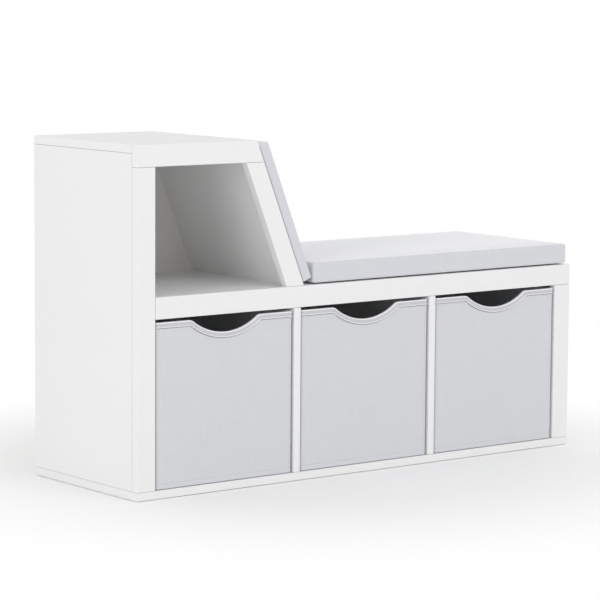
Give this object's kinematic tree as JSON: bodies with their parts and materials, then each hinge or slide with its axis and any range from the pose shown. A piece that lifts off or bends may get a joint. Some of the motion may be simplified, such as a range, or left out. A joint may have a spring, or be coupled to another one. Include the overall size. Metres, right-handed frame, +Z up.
{
  "type": "children's storage bench",
  "caption": "Low white storage bench for a child's room: open bays with fabric bins under a cushioned seat, and a taller end with a book niche and a sloping padded backrest.",
  "frame": {"origin": "on the floor, under the middle of the cabinet's footprint", "axes": "+X along the bench from the tall end to the seat's free end, +Y from the open front to the back, +Z up"},
  "size_m": [1.028, 0.329, 0.624],
  "materials": {
    "white_board": "white melamine-faced board, satin, with matching edge bands",
    "back_panel": "thin hardboard, white lacquer on the face",
    "steel": "zinc-plated steel",
    "cam_metal": "die-cast zinc, matt",
    "beech": "fluted beech dowel, raw",
    "hook_tape": "woven tape with stiff hooks",
    "loop_tape": "woven tape with soft loops",
    "bin_fabric": "pale grey plain-weave cloth, matt",
    "lining_fabric": "pale grey non-woven lining",
    "fibreboard": "grey-brown bookbinding board",
    "binding_tape": "ribbed pale grey tape, stitched along both edges",
    "insert_board": "stiff board covered in the pale grey lining cloth",
    "cushion_fabric": "pale grey fine-weave upholstery cloth, matt",
    "foam": "cut polyurethane foam"
  },
  "bodies": {
    "cabinet": {"base_board": "white_board", "left_side_panel": "white_board", "right_side_panel": "white_board", "left_divider": "white_board", "right_divider": "white_board", "seat_board": "white_board", "backrest_board": "white_board", "top_board": "white_board", "left_stile": "white_board", "right_stile": "white_board", "seat_rail": "white_board", "sloping_stile": "white_board", "top_rail": "white_board", "lower_back_panel": "back_panel", "niche_back_panel": "back_panel", "base_screws": "steel", "backrest_screws": "steel", "cam_bolts": "steel", "back_panel_nails": "steel", "cam_locks": "cam_metal", "board_dowels": "beech", "trim_dowels": "beech", "seat_hook_strips": "hook_tape", "backrest_hook_strips": "hook_tape"},
    "left_bin": {"left_bin_cover": "bin_fabric", "left_bin_lining": "lining_fabric", "left_bin_front_stiffener": "fibreboard", "left_bin_rear_stiffener": "fibreboard", "left_bin_left_stiffener": "fibreboard", "left_bin_right_stiffener": "fibreboard", "left_bin_binding": "binding_tape"},
    "left_bin_bottom": {"left_bin_insert": "insert_board"},
    "middle_bin": {"middle_bin_cover": "bin_fabric", "middle_bin_lining": "lining_fabric", "middle_bin_front_stiffener": "fibreboard", "middle_bin_rear_stiffener": "fibreboard", "middle_bin_left_stiffener": "fibreboard", "middle_bin_right_stiffener": "fibreboard", "middle_bin_binding": "binding_tape"},
    "middle_bin_bottom": {"middle_bin_insert": "insert_board"},
    "right_bin": {"right_bin_cover": "bin_fabric", "right_bin_lining": "lining_fabric", "right_bin_front_stiffener": "fibreboard", "right_bin_rear_stiffener": "fibreboard", "right_bin_left_stiffener": "fibreboard", "right_bin_right_stiffener": "fibreboard", "right_bin_binding": "binding_tape"},
    "right_bin_bottom": {"right_bin_insert": "insert_board"},
    "seat_cushion": {"seat_cushion_cover": "cushion_fabric", "seat_cushion_foam": "foam", "seat_loop_strips": "loop_tape"},
    "back_cushion": {"back_cushion_cover": "cushion_fabric", "back_cushion_foam": "foam", "back_loop_strips": "loop_tape"}
  },
  "joints": [
    {"name": "left_bin_slide", "type": "slide", "parent": "cabinet", "child": "left_bin", "axis": [0, -1, 0], "range_m": [0, 0.28]},
    {"name": "left_bin_bottom_lift", "type": "slide", "parent": "left_bin", "child": "left_bin_bottom", "axis": [0, 0, 1], "range_m": [0, 0.2]},
    {"name": "middle_bin_slide", "type": "slide", "parent": "cabinet", "child": "middle_bin", "axis": [0, -1, 0], "range_m": [0, 0.28]},
    {"name": "middle_bin_bottom_lift", "type": "slide", "parent": "middle_bin", "child": "middle_bin_bottom", "axis": [0, 0, 1], "range_m": [0, 0.2]},
    {"name": "right_bin_slide", "type": "slide", "parent": "cabinet", "child": "right_bin", "axis": [0, -1, 0], "range_m": [0, 0.28]},
    {"name": "right_bin_bottom_lift", "type": "slide", "parent": "right_bin", "child": "right_bin_bottom", "axis": [0, 0, 1], "range_m": [0, 0.2]},
    {"name": "seat_cushion_lift", "type": "slide", "parent": "cabinet", "child": "seat_cushion", "axis": [0, 0, 1], "range_m": [0, 0.15]},
    {"name": "back_cushion_lift", "type": "slide", "parent": "cabinet", "child": "back_cushion", "axis": [0, 0, 1], "range_m": [0, 0.15]}
  ]
}
